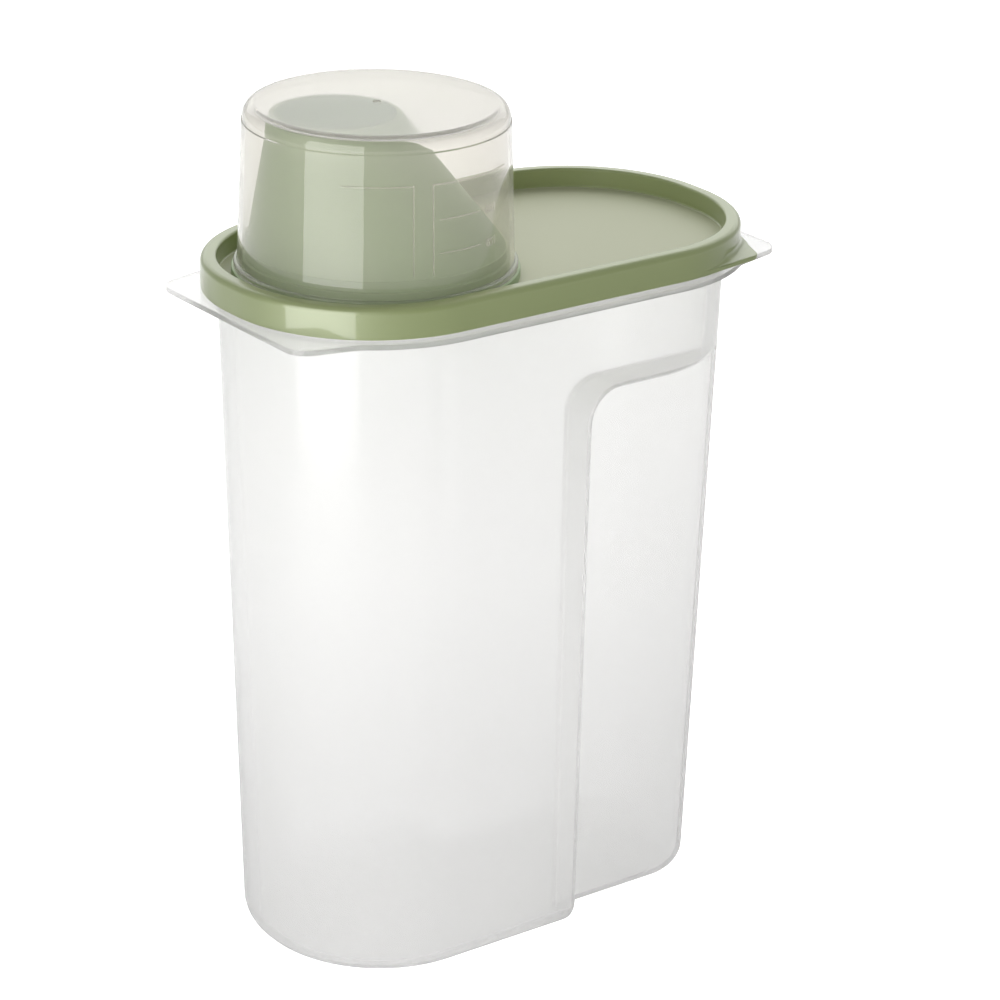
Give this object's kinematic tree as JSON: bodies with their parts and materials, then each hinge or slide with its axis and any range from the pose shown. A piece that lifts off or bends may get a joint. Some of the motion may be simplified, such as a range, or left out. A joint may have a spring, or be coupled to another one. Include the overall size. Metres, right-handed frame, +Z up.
{
  "type": "rice storage container",
  "caption": "Tall translucent rice keeper with round ends, a press-on lid with a slanted pouring spout, and a clear measuring cup that covers the spout.",
  "frame": {"origin": "centre of the base, on the surface that the container stands on", "axes": "+Z up; X along the long side, +X towards the grip recess; Y across the narrow side"},
  "size_m": [0.1744, 0.101, 0.2621],
  "materials": {
    "container": "milky translucent polypropylene",
    "lid": "glossy sage green",
    "cup": "clear with a lightly frosted base"
  },
  "bodies": {
    "container": {"container_body": "container"},
    "lid": {"lid": "lid"},
    "cup": {"measuring_cup": "cup"}
  },
  "joints": [
    {"name": "lid_lift", "type": "slide", "parent": "container", "child": "lid", "axis": [0, 0, 1], "range_m": [0, 0.06]},
    {"name": "cup_lift", "type": "slide", "parent": "lid", "child": "cup", "axis": [0, 0, 1], "range_m": [0, 0.08]}
  ]
}
